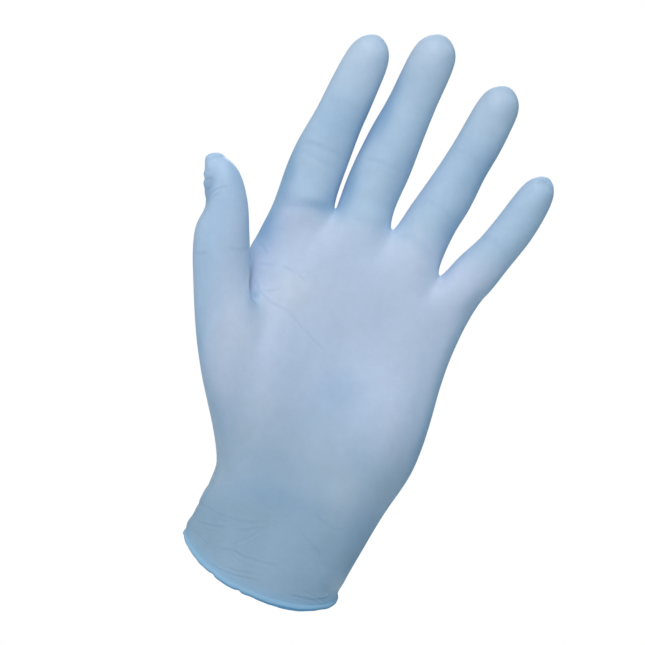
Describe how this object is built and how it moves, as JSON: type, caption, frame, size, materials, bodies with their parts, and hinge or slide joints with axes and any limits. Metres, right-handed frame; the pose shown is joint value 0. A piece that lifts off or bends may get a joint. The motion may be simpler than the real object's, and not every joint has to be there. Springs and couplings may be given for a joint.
{
  "type": "nitrile exam glove",
  "caption": "Disposable powder-free nitrile examination glove in its worn, spread form: one thin dipped film with a thumb, fingers and a short cuff that ends in a rolled bead.",
  "frame": {"origin": "middle of the cuff's opening, in the plane of the sides of its rolled rim", "axes": "+Z from the cuff to the fingertips, -Y the way the palm faces, -X towards the thumb"},
  "size_m": [0.1377, 0.0559, 0.2404],
  "materials": {
    "nitrile_film": "matte light blue nitrile film"
  },
  "bodies": {
    "root": {"glove": "nitrile_film"}
  },
  "joints": []
}
